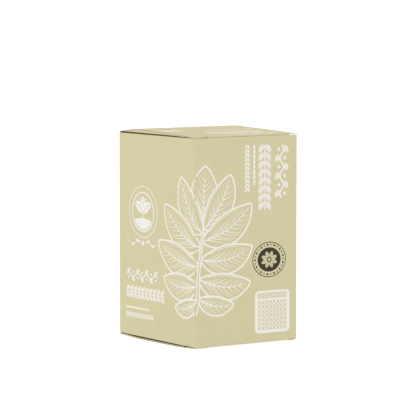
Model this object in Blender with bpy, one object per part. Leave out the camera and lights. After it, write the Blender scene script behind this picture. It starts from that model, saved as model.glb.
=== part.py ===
"""A closed folding carton for a mushroom grow kit, with the bagged block inside it.

Metres, +Z up. The origin is on the table, under the middle of the carton. The front wall faces -Y.
Every card panel is a curved surface, its printed side, thickened inwards by a Solidify modifier.
"""
import math

import bmesh
import bpy

MM = 0.001

# Carton, outside sizes
WIDTH = 129.0 * MM             # front wall, along X
DEPTH = 144.0 * MM             # side walls, along Y
CARD = 0.7 * MM                # thickness of the card
GAP = 0.3 * MM                 # between pieces that touch
FOLD = 1.0 * MM                # outside radius of the upright folds
CREASE = 1.4 * MM              # outside radius of a rolled crease

# Heights
BELLY = 1.6 * MM               # the bottom lid's creases are this far off the table
BELLY_REACH = 0.84             # the smaller, the sooner the bottom lid comes down to the table
FRONT_FOOT = 2.6 * MM          # lower edge of the front and back walls
SIDE_FOOT = 3.7 * MM           # lower edge of the side walls, cut shorter
FRONT_TOP = 217.6 * MM         # upper edge of the front and back walls
SIDE_TOP = 217.3 * MM          # upper edge of the side walls

# Top lid: a plane that rises to the back, then bends down to its hinge
LID_FRONT = 1.5 * MM           # its height over FRONT_TOP at the front
LID_RISE = 4.3 * MM            # what it would rise over the whole depth
LID_BEND = 0.72                # share of the depth where it starts to bend down
LID_CURL = 57.4 * MM           # how fast it bends down
LID_WARP = 0.3 * MM            # how far its left edge is over its middle
LID_SIDE = 0.4 * MM            # how far its side edges stay inside the side walls
SLIT_LEFT = 16.6 * MM          # from the front wall's left end to the crease's slit
SLIT_RIGHT = 10.0 * MM         # and from its right end
SLIT = 0.5 * MM                # width of a slit
CORNER = 3.0 * MM              # the lid's front corners are rounded over this width
CORNER_DEPTH = 1.8 * MM        # and this depth
TUCK = 20.0 * MM               # length of a tuck flap
TUCK_CORNER = 8.0 * MM
TUCK_NARROW = 0.92             # share of the corner's width that its last row reaches
TUCK_TILT = math.radians(10)   # a tuck flap leans in from the front wall
BOTTOM_TILT = math.radians(3)
ROLL_ANGLES = (22.5, 45.0, 67.5, 90.0)     # rows of a rolled crease, in degrees

# Dust flaps
FLAP_START = 21.5 * MM         # from the front wall to a flap
FLAP_END = 10.0 * MM           # from the back wall to a flap
FLAP_LENGTH = 46.0 * MM
FLAP_RADIUS = 0.8 * MM
FLAP_INSET = 0.2 * MM
FLAP_CORNER = 9.0 * MM
FLAP_SLANT = 0.12              # how far its front edge leans back for each millimetre inwards
FLAP_UNDER = 0.35 * MM         # a top dust flap lies this far under the lid
FLAP_TURNS = (0.0, 30.0, 60.0, 90.0)       # rows of a flap's round turn, in degrees
LIP = 0.1 * MM                 # least height of a flap's upright lip
SLOT_FRONT = 1.2 * MM          # open slot between a side wall and its flap, at the front
SLOT_BACK = 1.9 * MM           # and at the back
BOTTOM_SLOT = 1.5 * MM

LAP = 16.0 * MM                # glue lap inside the left wall
LAP_TAPER = 4.0 * MM           # its free edge is cut shorter at both ends

# Contents
BLOCK = (118.0 * MM, 131.0 * MM, 160.0 * MM)
BLOCK_RADIUS = 13.0 * MM
EDGE_START = 25.0              # degrees: the lower edge's rounding starts at this slope
FILM = 0.4 * MM
FILM_GAP = 0.4 * MM
STACK = (104.0 * MM, 112.0 * MM, 11.0 * MM)
STACK_ROUND = 4.6 * MM
PATCH = (52.0 * MM, 52.0 * MM, 0.6 * MM)
PATCH_ROUND = 0.18 * MM

HALF_W = WIDTH / 2
HALF_D = DEPTH / 2
BEND_Y = -HALF_D + CARD + GAP + CREASE     # where the lid starts to roll over its front crease
HINGE = (0.0, HALF_D, FRONT_TOP + GAP)
TUCK_AXIS = (0.0, BEND_Y - CREASE, FRONT_TOP - GAP)
FLAP_AXIS_X = HALF_W - CARD / 2
FLAP_AXIS_Z = FRONT_TOP + 0.1 * MM


def material(name, colour, roughness):
    mat = bpy.data.materials.new(name)
    mat.use_nodes = True
    shader = mat.node_tree.nodes["Principled BSDF"]
    shader.inputs["Base Color"].default_value = (*colour, 1.0)
    shader.inputs["Roughness"].default_value = roughness
    shader.inputs["Metallic"].default_value = 0.0
    return mat


def finish(name, bm, mat, origin=(0.0, 0.0, 0.0)):
    """Makes an object of a bmesh whose points are world points, with its origin on a joint's axis."""
    bmesh.ops.translate(bm, verts=bm.verts, vec=[-c for c in origin])
    mesh = bpy.data.meshes.new(name)
    bm.to_mesh(mesh)
    bm.free()
    obj = bpy.data.objects.new(name, mesh)
    obj.location = origin
    obj.data.materials.append(mat)
    bpy.context.scene.collection.objects.link(obj)
    return obj


def sheet(name, rows, mat, origin=(0.0, 0.0, 0.0), hole=None, thickness=CARD):
    """A grid of points is one side of the sheet, its outside, and the thickness goes inwards.

    hole(i, j) says that the cell after point i of a row and row j is cut out.
    """
    bm = bmesh.new()
    grid = [[bm.verts.new(point) for point in row] for row in rows]
    for j in range(len(grid) - 1):
        for i in range(len(grid[0]) - 1):
            if hole is None or not hole(i, j):
                bm.faces.new((grid[j][i], grid[j][i + 1], grid[j + 1][i + 1], grid[j + 1][i]))
    bmesh.ops.delete(bm, geom=[v for v in bm.verts if not v.link_faces], context="VERTS")
    obj = finish(name, bm, mat, origin)
    obj.data.shade_smooth()
    obj.data.set_sharp_from_angle(angle=math.radians(35))
    solid = obj.modifiers.new("card", "SOLIDIFY")
    solid.thickness = thickness
    solid.offset = -1.0
    solid.use_even_offset = True
    return obj


def steps(start, end, count):
    return [start + (end - start) * k / count for k in range(count + 1)]


def fold(centre, radius, start, end, count=4):
    """Points of a round fold, from one angle to the other, in degrees."""
    angles = [math.radians(a) for a in steps(start, end, count)]
    return [(centre[0] + radius * math.cos(a), centre[1] + radius * math.sin(a)) for a in angles]


def lid_height(x, y):
    """Top of the closed lid: a rise to the back, less a parabola near the hinge, and a slight warp."""
    back = (y + HALF_D) / DEPTH
    bend = max(0.0, back - LID_BEND)
    warp = LID_WARP * (-x / HALF_W) * (1 - back ** 4)
    return FRONT_TOP + LID_FRONT + LID_RISE * back - LID_CURL * bend ** 2 + warp


def bottom_height(x, y):
    """Underside of the bottom lid: flat on the table in the middle, raised to its creases."""
    back = (y + HALF_D) / DEPTH
    arch = min(1.0, 4 * back * (1 - back) / BELLY_REACH)
    return BELLY * (1 - arch * arch * (3 - 2 * arch))


def sleeve(mat):
    """The four walls: one strip of card, from the left wall's free edge round to the glue lap."""
    corners = [(-1, -1, 180, 270), (1, -1, 270, 360), (1, 1, 0, 90)]
    path = [(-HALF_W, HALF_D - CARD - GAP)]
    tall = [0.0]
    for side_x, side_y, start, end in corners:
        centre = (side_x * (HALF_W - FOLD), side_y * (HALF_D - FOLD))
        path += fold(centre, FOLD, start, end)
        leaves_side = side_x * side_y > 0
        rise = [0.0, 0.0, 0.5, 1.0, 1.0]
        tall += rise if leaves_side else rise[::-1]
    lap_x = -HALF_W + CARD + GAP
    path += fold((lap_x + FOLD, HALF_D - FOLD), FOLD, 90, 180)
    tall += [1.0, 1.0, 0.5, 0.0, 0.0]
    path.append((lap_x, HALF_D - FOLD - LAP))
    tall.append(0.0)
    inset = [0.0] * (len(path) - 1) + [LAP_TAPER]
    rows = []
    for (x, y), high, cut in zip(path, tall, inset):
        foot = SIDE_FOOT + (FRONT_FOOT - SIDE_FOOT) * high + cut
        top = SIDE_TOP + (FRONT_TOP - SIDE_TOP) * high - cut
        rows.append([(x, y, z) for z in steps(foot, top, 4)])
    return sheet("sleeve", rows[::-1], mat)


def crease_columns():
    """X of the lid's columns, the two slits among them, and the two columns that start a slit."""
    edge = HALF_W - LID_SIDE
    left = -HALF_W + SLIT_LEFT
    right = HALF_W - SLIT_RIGHT
    round_left = [-edge + CORNER * (1 - math.cos(math.radians(a))) for a in (0, 30, 60, 90)]
    round_right = [edge - CORNER * (1 - math.cos(math.radians(a))) for a in (90, 60, 30, 0)]
    middle = steps(left + SLIT, right, 8)
    columns = round_left + [left] + middle + [right + SLIT] + round_right
    return columns, len(round_left), len(round_left) + len(middle)


def closing_panel(name, height, up, mat, origin=(0.0, 0.0, 0.0)):
    """A lid: its surface, then a rolled front crease between two flat shoulders.

    up is 1 for the top lid, whose crease rolls down, and -1 for the bottom lid.
    """
    columns, slit_left, slit_right = crease_columns()
    edge = HALF_W - LID_SIDE
    back = HALF_D - GAP
    rows = [[(x, y, height(x, y)) for x in columns] for y in steps(back, BEND_Y, 22)]
    for angle in ROLL_ANGLES:
        row = []
        for i, x in enumerate(columns):
            if slit_left < i <= slit_right:
                y = BEND_Y - CREASE * math.sin(math.radians(angle))
                z = height(x, BEND_Y) - up * CREASE * (1 - math.cos(math.radians(angle)))
            else:
                beyond = min(1.0, max(0.0, abs(x) - edge + CORNER) / CORNER)
                shoulder = -HALF_D + LID_SIDE + CORNER_DEPTH * (1 - math.sqrt(1 - beyond ** 2))
                y = BEND_Y + (shoulder - BEND_Y) * angle / 90.0
                z = height(x, BEND_Y)
            row.append((x, y, z))
        rows.append(row)
    if up > 0:
        rows = rows[::-1]
    last = len(rows) - 1
    rolled = len(ROLL_ANGLES)
    cut_rows = range(0, rolled) if up > 0 else range(last - rolled, last)
    return sheet(name, rows, mat, origin, hole=lambda i, j: i in (slit_left, slit_right) and j in cut_rows)


def tuck(name, height, up, tilt, mat, origin=(0.0, 0.0, 0.0)):
    """A tuck flap: a flat tongue with round corners, leaning in from the crease."""
    left = -HALF_W + SLIT_LEFT + SLIT + GAP
    right = HALF_W - SLIT_RIGHT - GAP
    rows = []
    for share in (0.0, 0.3, 0.6, 0.7, 0.8, 0.9, 0.96, 1.0):
        down = share * TUCK
        beyond = max(0.0, down - TUCK + TUCK_CORNER)
        narrow = TUCK_CORNER - math.sqrt(max(0.0, TUCK_CORNER ** 2 - beyond ** 2))
        narrow = min(narrow, TUCK_CORNER * TUCK_NARROW)
        row = []
        for x in steps(left + narrow, right - narrow, 6):
            z = height(x, BEND_Y) - up * (CREASE + GAP + down * math.cos(tilt))
            row.append((x, BEND_Y - CREASE + down * math.sin(tilt), z))
        rows.append(row)
    if up < 0:
        rows = rows[::-1]
    return sheet(name, rows[::-1], mat, origin)


def flap_profile(side, up, y):
    """Heights of a dust flap at one y: its outer lip's edge and its flat part."""
    if up > 0:
        flat = lid_height(side * HALF_W, y) - CARD - FLAP_UNDER
        share = (y + HALF_D) / DEPTH
        lip = SIDE_TOP + SLOT_FRONT + (SLOT_BACK - SLOT_FRONT) * share
        return min(lip, flat - FLAP_RADIUS - LIP), flat
    flat = bottom_height(0.0, y) + CARD + GAP
    return max(SIDE_FOOT - BOTTOM_SLOT, flat + FLAP_RADIUS + LIP), flat


def dust_flap(name, side, up, mat, origin=(0.0, 0.0, 0.0)):
    """A dust flap: a lip that shows over the side wall, a round turn, then a flat flap under the lid.

    Its back edge is cut at 45 degrees, so that it swings up clear of the lid.
    """
    outer = HALF_W - FLAP_INSET
    start = -HALF_D + FLAP_START
    end = HALF_D - FLAP_END
    rows = []
    inward = [FLAP_LENGTH * share for share in (0.1, 0.25, 0.4, 0.6, 0.8, 0.9, 0.97, 1.0)]
    for place in range(len(FLAP_TURNS) + 1 + len(inward)):
        reach = 0.0 if place <= len(FLAP_TURNS) else inward[place - len(FLAP_TURNS) - 1]
        beyond = max(0.0, reach - FLAP_LENGTH + FLAP_CORNER)
        narrow = FLAP_CORNER - math.sqrt(max(0.0, FLAP_CORNER ** 2 - beyond ** 2))
        first = start + reach * FLAP_SLANT + narrow
        final = end - reach - narrow
        row = []
        for y in steps(first, final, 14):
            lip, flat = flap_profile(side, up, y)
            if place == 0:
                x, z = outer, lip
            elif place <= len(FLAP_TURNS):
                turn = math.radians(FLAP_TURNS[place - 1])
                x = outer - FLAP_RADIUS * (1 - math.cos(turn))
                z = flat - up * FLAP_RADIUS * (1 - math.sin(turn))
            else:
                x, z = outer - FLAP_RADIUS - reach, flat
            row.append((side * x, y, z))
        rows.append(row)
    if side * up > 0:
        rows = rows[::-1]
    return sheet(name, rows[::-1], mat, origin)


def rounded_box(name, size, bottom, radius, mat, segments=4):
    bm = bmesh.new()
    bmesh.ops.create_cube(bm, size=1.0)
    bmesh.ops.scale(bm, vec=size, verts=bm.verts)
    bmesh.ops.translate(bm, vec=(0.0, 0.0, bottom + size[2] / 2), verts=bm.verts)
    obj = finish(name, bm, mat)
    bevel = obj.modifiers.new("round", "BEVEL")
    bevel.width = radius
    bevel.segments = segments
    return obj


def lofted(name, half_x, half_y, radius, low, top, mat, lid_on):
    """A block with round upright corners and a rounded lower edge; its top is rounded too, or left open."""
    centres = [(half_x - radius, half_y - radius, 0), (radius - half_x, half_y - radius, 90),
               (radius - half_x, radius - half_y, 180), (half_x - radius, radius - half_y, 270)]
    turns = [math.radians(a) for a in steps(EDGE_START, 90.0, 4)]
    drop = radius * math.cos(turns[0])
    levels = [(radius * math.sin(a), low + drop - radius * math.cos(a)) for a in turns]
    if lid_on:
        levels += [(wide, low + top - z) for wide, z in levels[::-1]]
    else:
        levels.append((radius, top))
    bm = bmesh.new()
    rings = []
    for wide, z in levels:
        ring = []
        for x, y, start in centres:
            ring += fold((x, y), wide, start, start + 90)
        rings.append([bm.verts.new((x, y, z)) for x, y in ring])
    bm.faces.new(rings[0][::-1])
    if lid_on:
        bm.faces.new(rings[-1])
    for lower, upper in zip(rings, rings[1:]):
        for k in range(len(lower)):
            after = (k + 1) % len(lower)
            bm.faces.new((lower[k], lower[after], upper[after], upper[k]))
    return finish(name, bm, mat)


def contents(block_bottom, block_mat, film_mat, patch_mat):
    """The block, the film bag round it, the bag's folded top and the patch on that."""
    block_top = block_bottom + BLOCK[2]
    lofted("substrate_block", BLOCK[0] / 2, BLOCK[1] / 2, BLOCK_RADIUS, block_bottom, block_top,
           block_mat, True)
    proud = FILM + FILM_GAP
    bag_bottom = block_bottom - proud * math.cos(math.radians(EDGE_START))
    bag = lofted("grow_bag", BLOCK[0] / 2 + proud, BLOCK[1] / 2 + proud, BLOCK_RADIUS + proud,
                 bag_bottom, block_top - BLOCK_RADIUS, film_mat, False)
    solid = bag.modifiers.new("film", "SOLIDIFY")
    solid.thickness = FILM
    solid.offset = -1.0
    solid.use_even_offset = True
    stack_bottom = block_top + GAP
    rounded_box("bag_fold", STACK, stack_bottom, STACK_ROUND, film_mat)
    rounded_box("filter_patch", PATCH, stack_bottom + STACK[2] + GAP, PATCH_ROUND, patch_mat, 1)


def build():
    for obj in list(bpy.data.objects):
        bpy.data.objects.remove(obj)
    card = material("printed_card", (0.68, 0.62, 0.40), 0.7)
    block = material("white_substrate", (0.78, 0.72, 0.60), 0.95)
    film = material("clear_film", (0.85, 0.87, 0.88), 0.25)
    patch = material("filter_paper", (0.90, 0.90, 0.88), 0.9)

    sleeve(card)
    closing_panel("lid", lid_height, 1, card, HINGE)
    tuck("tuck_flap", lid_height, 1, TUCK_TILT, card, TUCK_AXIS)
    dust_flap("dust_flap_left", -1, 1, card, (-FLAP_AXIS_X, 0.0, FLAP_AXIS_Z))
    dust_flap("dust_flap_right", 1, 1, card, (FLAP_AXIS_X, 0.0, FLAP_AXIS_Z))
    closing_panel("bottom_lid", bottom_height, -1, card)
    tuck("bottom_tuck_flap", bottom_height, -1, BOTTOM_TILT, card)
    dust_flap("bottom_dust_left", -1, -1, card)
    dust_flap("bottom_dust_right", 1, -1, card)

    flap_top = flap_profile(1, -1, FLAP_START - HALF_D)[1] + CARD
    contents(flap_top + GAP + FILM + FILM_GAP, block, film, patch)


build()
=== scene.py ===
import math

import bmesh
import bpy
import numpy as np
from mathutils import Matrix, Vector


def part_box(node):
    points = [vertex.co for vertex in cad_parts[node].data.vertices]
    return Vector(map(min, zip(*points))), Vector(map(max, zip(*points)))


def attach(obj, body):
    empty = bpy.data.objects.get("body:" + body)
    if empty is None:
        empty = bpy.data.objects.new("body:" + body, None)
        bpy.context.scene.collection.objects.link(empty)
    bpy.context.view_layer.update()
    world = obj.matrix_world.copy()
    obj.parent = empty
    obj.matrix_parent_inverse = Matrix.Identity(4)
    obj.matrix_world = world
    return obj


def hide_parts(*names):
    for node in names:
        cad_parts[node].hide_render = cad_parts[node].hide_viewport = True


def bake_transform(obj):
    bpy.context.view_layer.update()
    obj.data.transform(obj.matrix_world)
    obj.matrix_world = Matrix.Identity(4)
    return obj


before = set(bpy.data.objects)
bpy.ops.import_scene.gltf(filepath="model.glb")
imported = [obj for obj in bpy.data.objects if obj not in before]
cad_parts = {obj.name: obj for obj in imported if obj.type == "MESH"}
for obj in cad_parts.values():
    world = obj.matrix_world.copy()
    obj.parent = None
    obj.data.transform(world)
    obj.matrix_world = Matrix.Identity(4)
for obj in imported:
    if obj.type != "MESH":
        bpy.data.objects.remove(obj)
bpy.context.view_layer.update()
mm = 0.001

# The carton as part.py makes it, in millimetres
box = {
    "width": 129.0, "depth": 144.0, "card": 0.7, "gap": 0.3, "fold": 1.0, "crease": 1.4,
    "frontFoot": 2.6, "sideFoot": 3.45, "sideFootFront": 2.8, "frontTop": 217.6, "sideTop": 217.3,
    "sideTopBack": 217.05, "rightTopFront": 216.75,    # the side walls' upper edges dip
    "belly": 1.6, "lap": 16.0,
}
lid = {
    "front": 1.5, "rise": 4.3, "bend": 0.70, "curl": 52.7, "warp": 0.3, "side": 0.4,
    "slitLeft": 16.6, "slitRight": 10.0, "slit": 0.5, "corner": 3.0, "cornerRight": 7.0, "cornerDepth": 1.8,
    "tuck": 20.0, "tuckCorner": 8.0, "tuckTilt": 10.0, "bottomTilt": 3.0,
    "bow": 0.20, "droop": 1.05, "droopWide": 18.0, "droopLong": 28.0,
    "sag": 0.5, "sagWide": 16.0, "sagLong": 10.0, "sagAt": 58.0,
}
flap = {
    "start": 21.5, "end": 10.0, "length": 46.0, "radius": 0.6, "inset": 0.2, "corner": 9.0,
    "slotFront": 1.2, "slotBack": 1.9, "bottomSlot": 2.0, "under": 0.12,
}
halfW = box["width"] / 2
halfD = box["depth"] / 2
bendY = -halfD + box["card"] + box["gap"] + box["crease"]


# Shader maths: a socket with the usual operators
class Sock:
    def __init__(self, tree, socket):
        self.tree = tree
        self.socket = socket

    def node(self, kind, settings=None, inputs=None, out=0):
        return addNode(self.tree, kind, settings, inputs, out)

    def math(self, operation, *values):
        return self.node("ShaderNodeMath", {"operation": operation}, dict(enumerate(values)))

    def __add__(self, other):
        return self.math("ADD", self, other)

    def __sub__(self, other):
        return self.math("SUBTRACT", self, other)

    def __mul__(self, other):
        return self.math("MULTIPLY", self, other)

    def __truediv__(self, other):
        return self.math("DIVIDE", self, other)

    def __pow__(self, other):
        return self.math("POWER", self, other)

    def __radd__(self, other):
        return self.math("ADD", other, self)

    def __rsub__(self, other):
        return self.math("SUBTRACT", other, self)

    def __rmul__(self, other):
        return self.math("MULTIPLY", other, self)

    def __rtruediv__(self, other):
        return self.math("DIVIDE", other, self)

    def __neg__(self):
        return self.math("MULTIPLY", self, -1.0)

    def absolute(self):
        return self.math("ABSOLUTE", self)

    def ramp(self, low, high):  # 0 below low, 1 above high, smooth between
        return self.node("ShaderNodeMapRange", {"interpolation_type": "SMOOTHSTEP"},
                         {"Value": self, "From Min": low, "From Max": high})

    def mix(self, first, second):  # a colour between two, this socket is the share
        return self.node("ShaderNodeMix", {"data_type": "RGBA"}, {0: self, 6: first, 7: second}, 2)


def addNode(tree, kind, settings=None, inputs=None, out=0):
    made = tree.nodes.new(kind)
    for name, value in (settings or {}).items():
        setattr(made, name, value)
    for name, value in (inputs or {}).items():
        if isinstance(value, Sock):
            tree.links.new(value.socket, made.inputs[name])
        else:
            made.inputs[name].default_value = value
    return Sock(tree, made.outputs[out])


def newMaterial(name, build, **fixed):
    # build(tree, place) returns the Principled sockets that vary; fixed ones are plain numbers.
    mat = bpy.data.materials.new(name)
    mat.use_nodes = True
    tree = mat.node_tree
    shader = tree.nodes["Principled BSDF"]
    for socket, value in fixed.items():
        shader.inputs[socket].default_value = value
    place = addNode(tree, "ShaderNodeTexCoord", out=3)
    for socket, value in build(tree, place).items():
        if isinstance(value, Sock):
            tree.links.new(value.socket, shader.inputs[socket])
        else:
            shader.inputs[socket].default_value = value
    return mat


def noise(tree, place, scale, detail=2.0, rough=0.5, stretch=None):
    if stretch:
        place = addNode(tree, "ShaderNodeMapping", None, {"Vector": place, "Scale": stretch})
    return addNode(tree, "ShaderNodeTexNoise", None,
                   {"Vector": place, "Scale": scale, "Detail": detail, "Roughness": rough})


def bump(height, strength, distance):
    return addNode(height.tree, "ShaderNodeBump", None,
                   {"Height": height, "Strength": strength, "Distance": distance})


cardLook = {
    "print": (0.612, 0.562, 0.354, 1.0),     # sage of the printed side
    "printDark": (0.592, 0.542, 0.338, 1.0),
    "inside": (0.36, 0.255, 0.135, 1.0),     # brown unprinted side
    "insideDark": (0.27, 0.185, 0.095, 1.0),
    "edge": (0.60, 0.55, 0.39, 1.0),         # cut edge
    "edgeDark": (0.46, 0.41, 0.28, 1.0),
    "crease": (0.21, 0.19, 0.09, 1.0),       # painted shade for the gap strips at the side walls' upper creases: the sage print darkened as if in deep shadow
    "creaseShadeDeep": (0.15, 0.13, 0.06, 1.0),
    "foot": (0.105, 0.093, 0.044, 1.0),      # painted shade for the strips in the gaps at the side walls' feet, darker than the upper ones
    "footShadeDeep": (0.075, 0.066, 0.031, 1.0),
    "cream": (0.812, 0.782, 0.738, 1.0),
    "creamDark": (0.780, 0.750, 0.704, 1.0),
    "dark": (0.044, 0.041, 0.023, 1.0),
    "darkThin": (0.054, 0.050, 0.030, 1.0),
    "shine": 0.05,                           # specular level of print and card
    "grain": 0.00004,                        # height of the paper's grain, metres
}


def printedSide(tree, place):
    cloud = noise(tree, place, 60.0, 3.0).ramp(0.35, 0.7)
    grain = noise(tree, place, 2600.0, 4.0, 0.6)
    fibre = noise(tree, place, 900.0, 2.0, 0.5, (1.0, 1.0, 0.25))
    share = cloud * 0.55 + grain.ramp(0.4, 0.65) * 0.45
    height = grain * 0.6 + fibre * 0.4
    return {
        "Base Color": share.mix(cardLook["printDark"], cardLook["print"]),
        "Roughness": 0.68 + grain * 0.16,
        "Normal": bump(height, 0.35, cardLook["grain"]),
    }


def rawSide(tree, place):
    cloud = noise(tree, place, 140.0, 4.0, 0.6)
    fleck = noise(tree, place, 1700.0, 2.0, 0.6, (0.3, 1.0, 1.0)).ramp(0.45, 0.7)
    return {
        "Base Color": (cloud * 0.5 + fleck * 0.5).mix(cardLook["insideDark"], cardLook["inside"]),
        "Roughness": 0.82 + cloud * 0.1,
        "Normal": bump(fleck, 0.5, cardLook["grain"] * 1.5),
    }


def cutEdge(tree, place):
    ply = noise(tree, place, 2400.0, 3.0, 0.7)
    return {
        "Base Color": ply.ramp(0.35, 0.65).mix(cardLook["edgeDark"], cardLook["edge"]),
        "Roughness": 0.9,
        "Normal": bump(ply, 0.6, cardLook["grain"] * 2.0),
    }


def shadeStripLook(first, second):
    # Painted shade for the strips in the gaps: a noise mottles it between two dark tones
    def build(tree, place):
        shadeMottle = noise(tree, place, 1500.0, 3.0, 0.7, (1.0, 0.3, 1.0))
        return {
            "Base Color": shadeMottle.ramp(0.4, 0.62).mix(first, second),
            "Roughness": 0.85,
            "Normal": bump(shadeMottle, 0.5, cardLook["grain"] * 2.0),
        }
    return build


def inkOf(first, second, gloss):
    def build(tree, place):
        mottle = noise(tree, place, 1900.0, 3.0, 0.6)
        return {
            "Base Color": mottle.ramp(0.3, 0.6).mix(first, second),
            "Roughness": gloss + mottle * 0.12,
            "Normal": bump(mottle, 0.25, cardLook["grain"]),
        }
    return build


dull = {"Specular IOR Level": cardLook["shine"]}
cardPrint = newMaterial("cardPrint", printedSide, **dull)
cardRaw = newMaterial("cardRaw", rawSide, **dull)
cardCut = newMaterial("cardCut", cutEdge, **dull)
# Painted shade: this dark material stands in for the shadow in the gaps at the side walls' upper creases, the back
# sills and the foot sills
creaseShade = newMaterial("creaseShade", shadeStripLook(cardLook["creaseShadeDeep"], cardLook["crease"]), **dull)
# Painted shade, darker still, standing in for the shadow in the gaps at the side walls' feet
footShade = newMaterial("footShade", shadeStripLook(cardLook["footShadeDeep"], cardLook["foot"]), **dull)
creamInk = newMaterial("creamInk", inkOf(cardLook["creamDark"], cardLook["cream"], 0.52), **dull)
darkInk = newMaterial("darkInk", inkOf(cardLook["dark"], cardLook["darkThin"], 0.5), **dull)
sageInk = newMaterial("sageInk", inkOf(cardLook["printDark"], cardLook["print"], 0.56), **dull)
print("materials made")


def newMesh(name, points, quads, mats):
    mesh = bpy.data.meshes.new(name)
    mesh.from_pydata((points * mm).tolist(), [], quads.tolist())
    mesh.update()
    obj = bpy.data.objects.new(name, mesh)
    bpy.context.scene.collection.objects.link(obj)
    for mat in mats:
        mesh.materials.append(mat)
    return obj


def gridQuads(rows, columns, holes=None):
    # Corner numbers of a grid's cells, rows by columns of points, without those in holes.
    start = np.arange(rows - 1)[:, None] * columns + np.arange(columns - 1)[None, :]
    quads = np.stack([start, start + 1, start + columns + 1, start + columns], -1)
    if holes is not None:
        return quads[~holes]
    return quads.reshape(-1, 4)


def settle(obj, sharp=35.0):
    # Modifiers are applied and the shading is set, so that the mesh is final.
    seen = obj.evaluated_get(bpy.context.evaluated_depsgraph_get())
    done = bpy.data.meshes.new_from_object(seen)
    obj.modifiers.clear()
    obj.data = done
    done.shade_smooth()
    done.set_sharp_from_angle(angle=math.radians(sharp))


def board(name, grid, node, body, flip=False, holes=None, thick=None, mats=None):
    # A sheet of card: grid is its printed side, an array of rows, columns and x, y, z in millimetres.
    # Solidify gives it the thickness, the raw side and the cut edge.
    rows, columns = grid.shape[:2]
    quads = gridQuads(rows, columns, holes)
    if flip:
        quads = quads[:, ::-1]
    used = np.unique(quads)
    points = grid.reshape(-1, 3)[used]
    quads = np.searchsorted(used, quads)
    obj = newMesh(name, points, quads, mats or [cardPrint, cardRaw, cardCut])
    solid = obj.modifiers.new("card", "SOLIDIFY")
    solid.thickness = (thick or box["card"]) * mm
    solid.offset = -1.0
    solid.use_even_offset = True
    solid.material_offset = 1
    solid.material_offset_rim = 2
    settle(obj)
    if node:
        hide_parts(node)
    if body:
        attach(obj, body)
    return obj


def perimeter():
    # The walls' outside as distance along the card, x, y and outward normal.
    # Straight walls and quarter rounds, from the left wall's free edge by way of the front.
    r = box["fold"]
    xs, ys, nx, ny = [-halfW], [halfD - box["card"] - box["gap"]], [-1.0], [0.0]
    for sideX, sideY, start in ((-1, -1, 180), (1, -1, 270), (1, 1, 0)):
        angle = np.radians(start + np.linspace(0, 90, 13))
        xs += list(sideX * (halfW - r) + r * np.cos(angle))
        ys += list(sideY * (halfD - r) + r * np.sin(angle))
        nx += list(np.cos(angle))
        ny += list(np.sin(angle))
    xs.append(-halfW + box["card"] + box["gap"] + r)
    ys.append(halfD)
    nx.append(0.0)
    ny.append(1.0)
    xs, ys = np.array(xs), np.array(ys)
    along = np.concatenate([[0.0], np.cumsum(np.hypot(np.diff(xs), np.diff(ys)))])
    return along, xs, ys, np.array(nx), np.array(ny)


wallAlong, wallX, wallY, wallNx, wallNy = perimeter()
frontCorner = (wallAlong[1] + wallAlong[13]) / 2      # middle of the fold between left and front wall
backCorner = (wallAlong[27] + wallAlong[39]) / 2      # middle of the fold between right and back wall


def onWall(u, v, lift, corner):
    # Flat print to the walls: u runs along the card from a corner's fold, v is the height, lift stands proud.
    s = corner + u
    nx, ny = np.interp(s, wallAlong, wallNx), np.interp(s, wallAlong, wallNy)
    length = np.hypot(nx, ny)
    x = np.interp(s, wallAlong, wallX) + lift * nx / length
    y = np.interp(s, wallAlong, wallY) + lift * ny / length
    return np.stack([x, y, np.broadcast_to(v, np.shape(x))], -1)


def lidHeight(x, y):
    # Top of the closed lid: a straight rise to the back, less a parabola near the hinge, plus a small warp.
    # The right edge bows up by a half sine. Two bell curves lower the left edge, at its front corner and near the hinge.
    back = (y + halfD) / box["depth"]
    bend = np.maximum(0.0, back - lid["bend"])
    warp = lid["warp"] * (-x / halfW) * (1 - back ** 4)
    warp = warp + lid["bow"] * np.maximum(0.0, x / halfW) * np.sin(np.pi * np.clip(back, 0, 1))
    droop = lid["droop"] * np.exp(-((x + halfW) / lid["droopWide"]) ** 2 - ((y + halfD) / lid["droopLong"]) ** 2)
    sag = lid["sag"] * np.exp(-((x + halfW) / lid["sagWide"]) ** 2 - ((y - lid["sagAt"]) / lid["sagLong"]) ** 2)
    return box["frontTop"] + lid["front"] + lid["rise"] * back - lid["curl"] * bend ** 2 + warp - droop - sag


def bottomHeight(x, y):
    # Underside of the bottom lid: flat in the middle, a smooth step up to its creases.
    back = (y + halfD) / box["depth"]
    arch = np.minimum(1.0, 4 * back * (1 - back) / 0.84)
    return box["belly"] * (1 - arch ** 2 * (3 - 2 * arch)) + 0 * x


def makeSleeve():
    # The walls: the perimeter carried up from the lower to the upper edge, then the glue lap inside.
    r = box["fold"]
    lapX = -halfW + box["card"] + box["gap"]
    angle = np.radians(np.linspace(90, 180, 13))
    xs = np.concatenate([wallX, (lapX + r + r * np.cos(angle))[1:], [lapX, lapX]])
    ys = np.concatenate([wallY, (halfD - r + r * np.sin(angle))[1:], [halfD - r - 8, halfD - r - box["lap"]]])
    tall = np.zeros(len(xs))
    step = np.clip(np.arange(13) - 5, 0, 2) / 2
    tall[1:14] = step
    tall[14:27] = 1 - step
    tall[27:40] = step
    tall[40:53] = 1 - step
    taper = np.zeros(len(xs))
    taper[-1] = 4.0
    share = np.linspace(0, 1, 25)[None, :]
    sideFoot = np.where(ys < 0, box["sideFootFront"], box["sideFoot"])
    sideTop = np.where(ys > 0, box["sideTopBack"], np.where(xs > 0, box["rightTopFront"], box["sideTop"]))
    foot = (sideFoot + (box["frontFoot"] - sideFoot) * tall + taper)[:, None]
    top = (sideTop + (box["frontTop"] - sideTop) * tall - taper)[:, None]
    z = foot + (top - foot) * share
    grid = np.stack([xs[:, None] + 0 * z, ys[:, None] + 0 * z, z], -1)
    return board("sleeveBoard", grid, "sleeve", "carton", flip=True)


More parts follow.
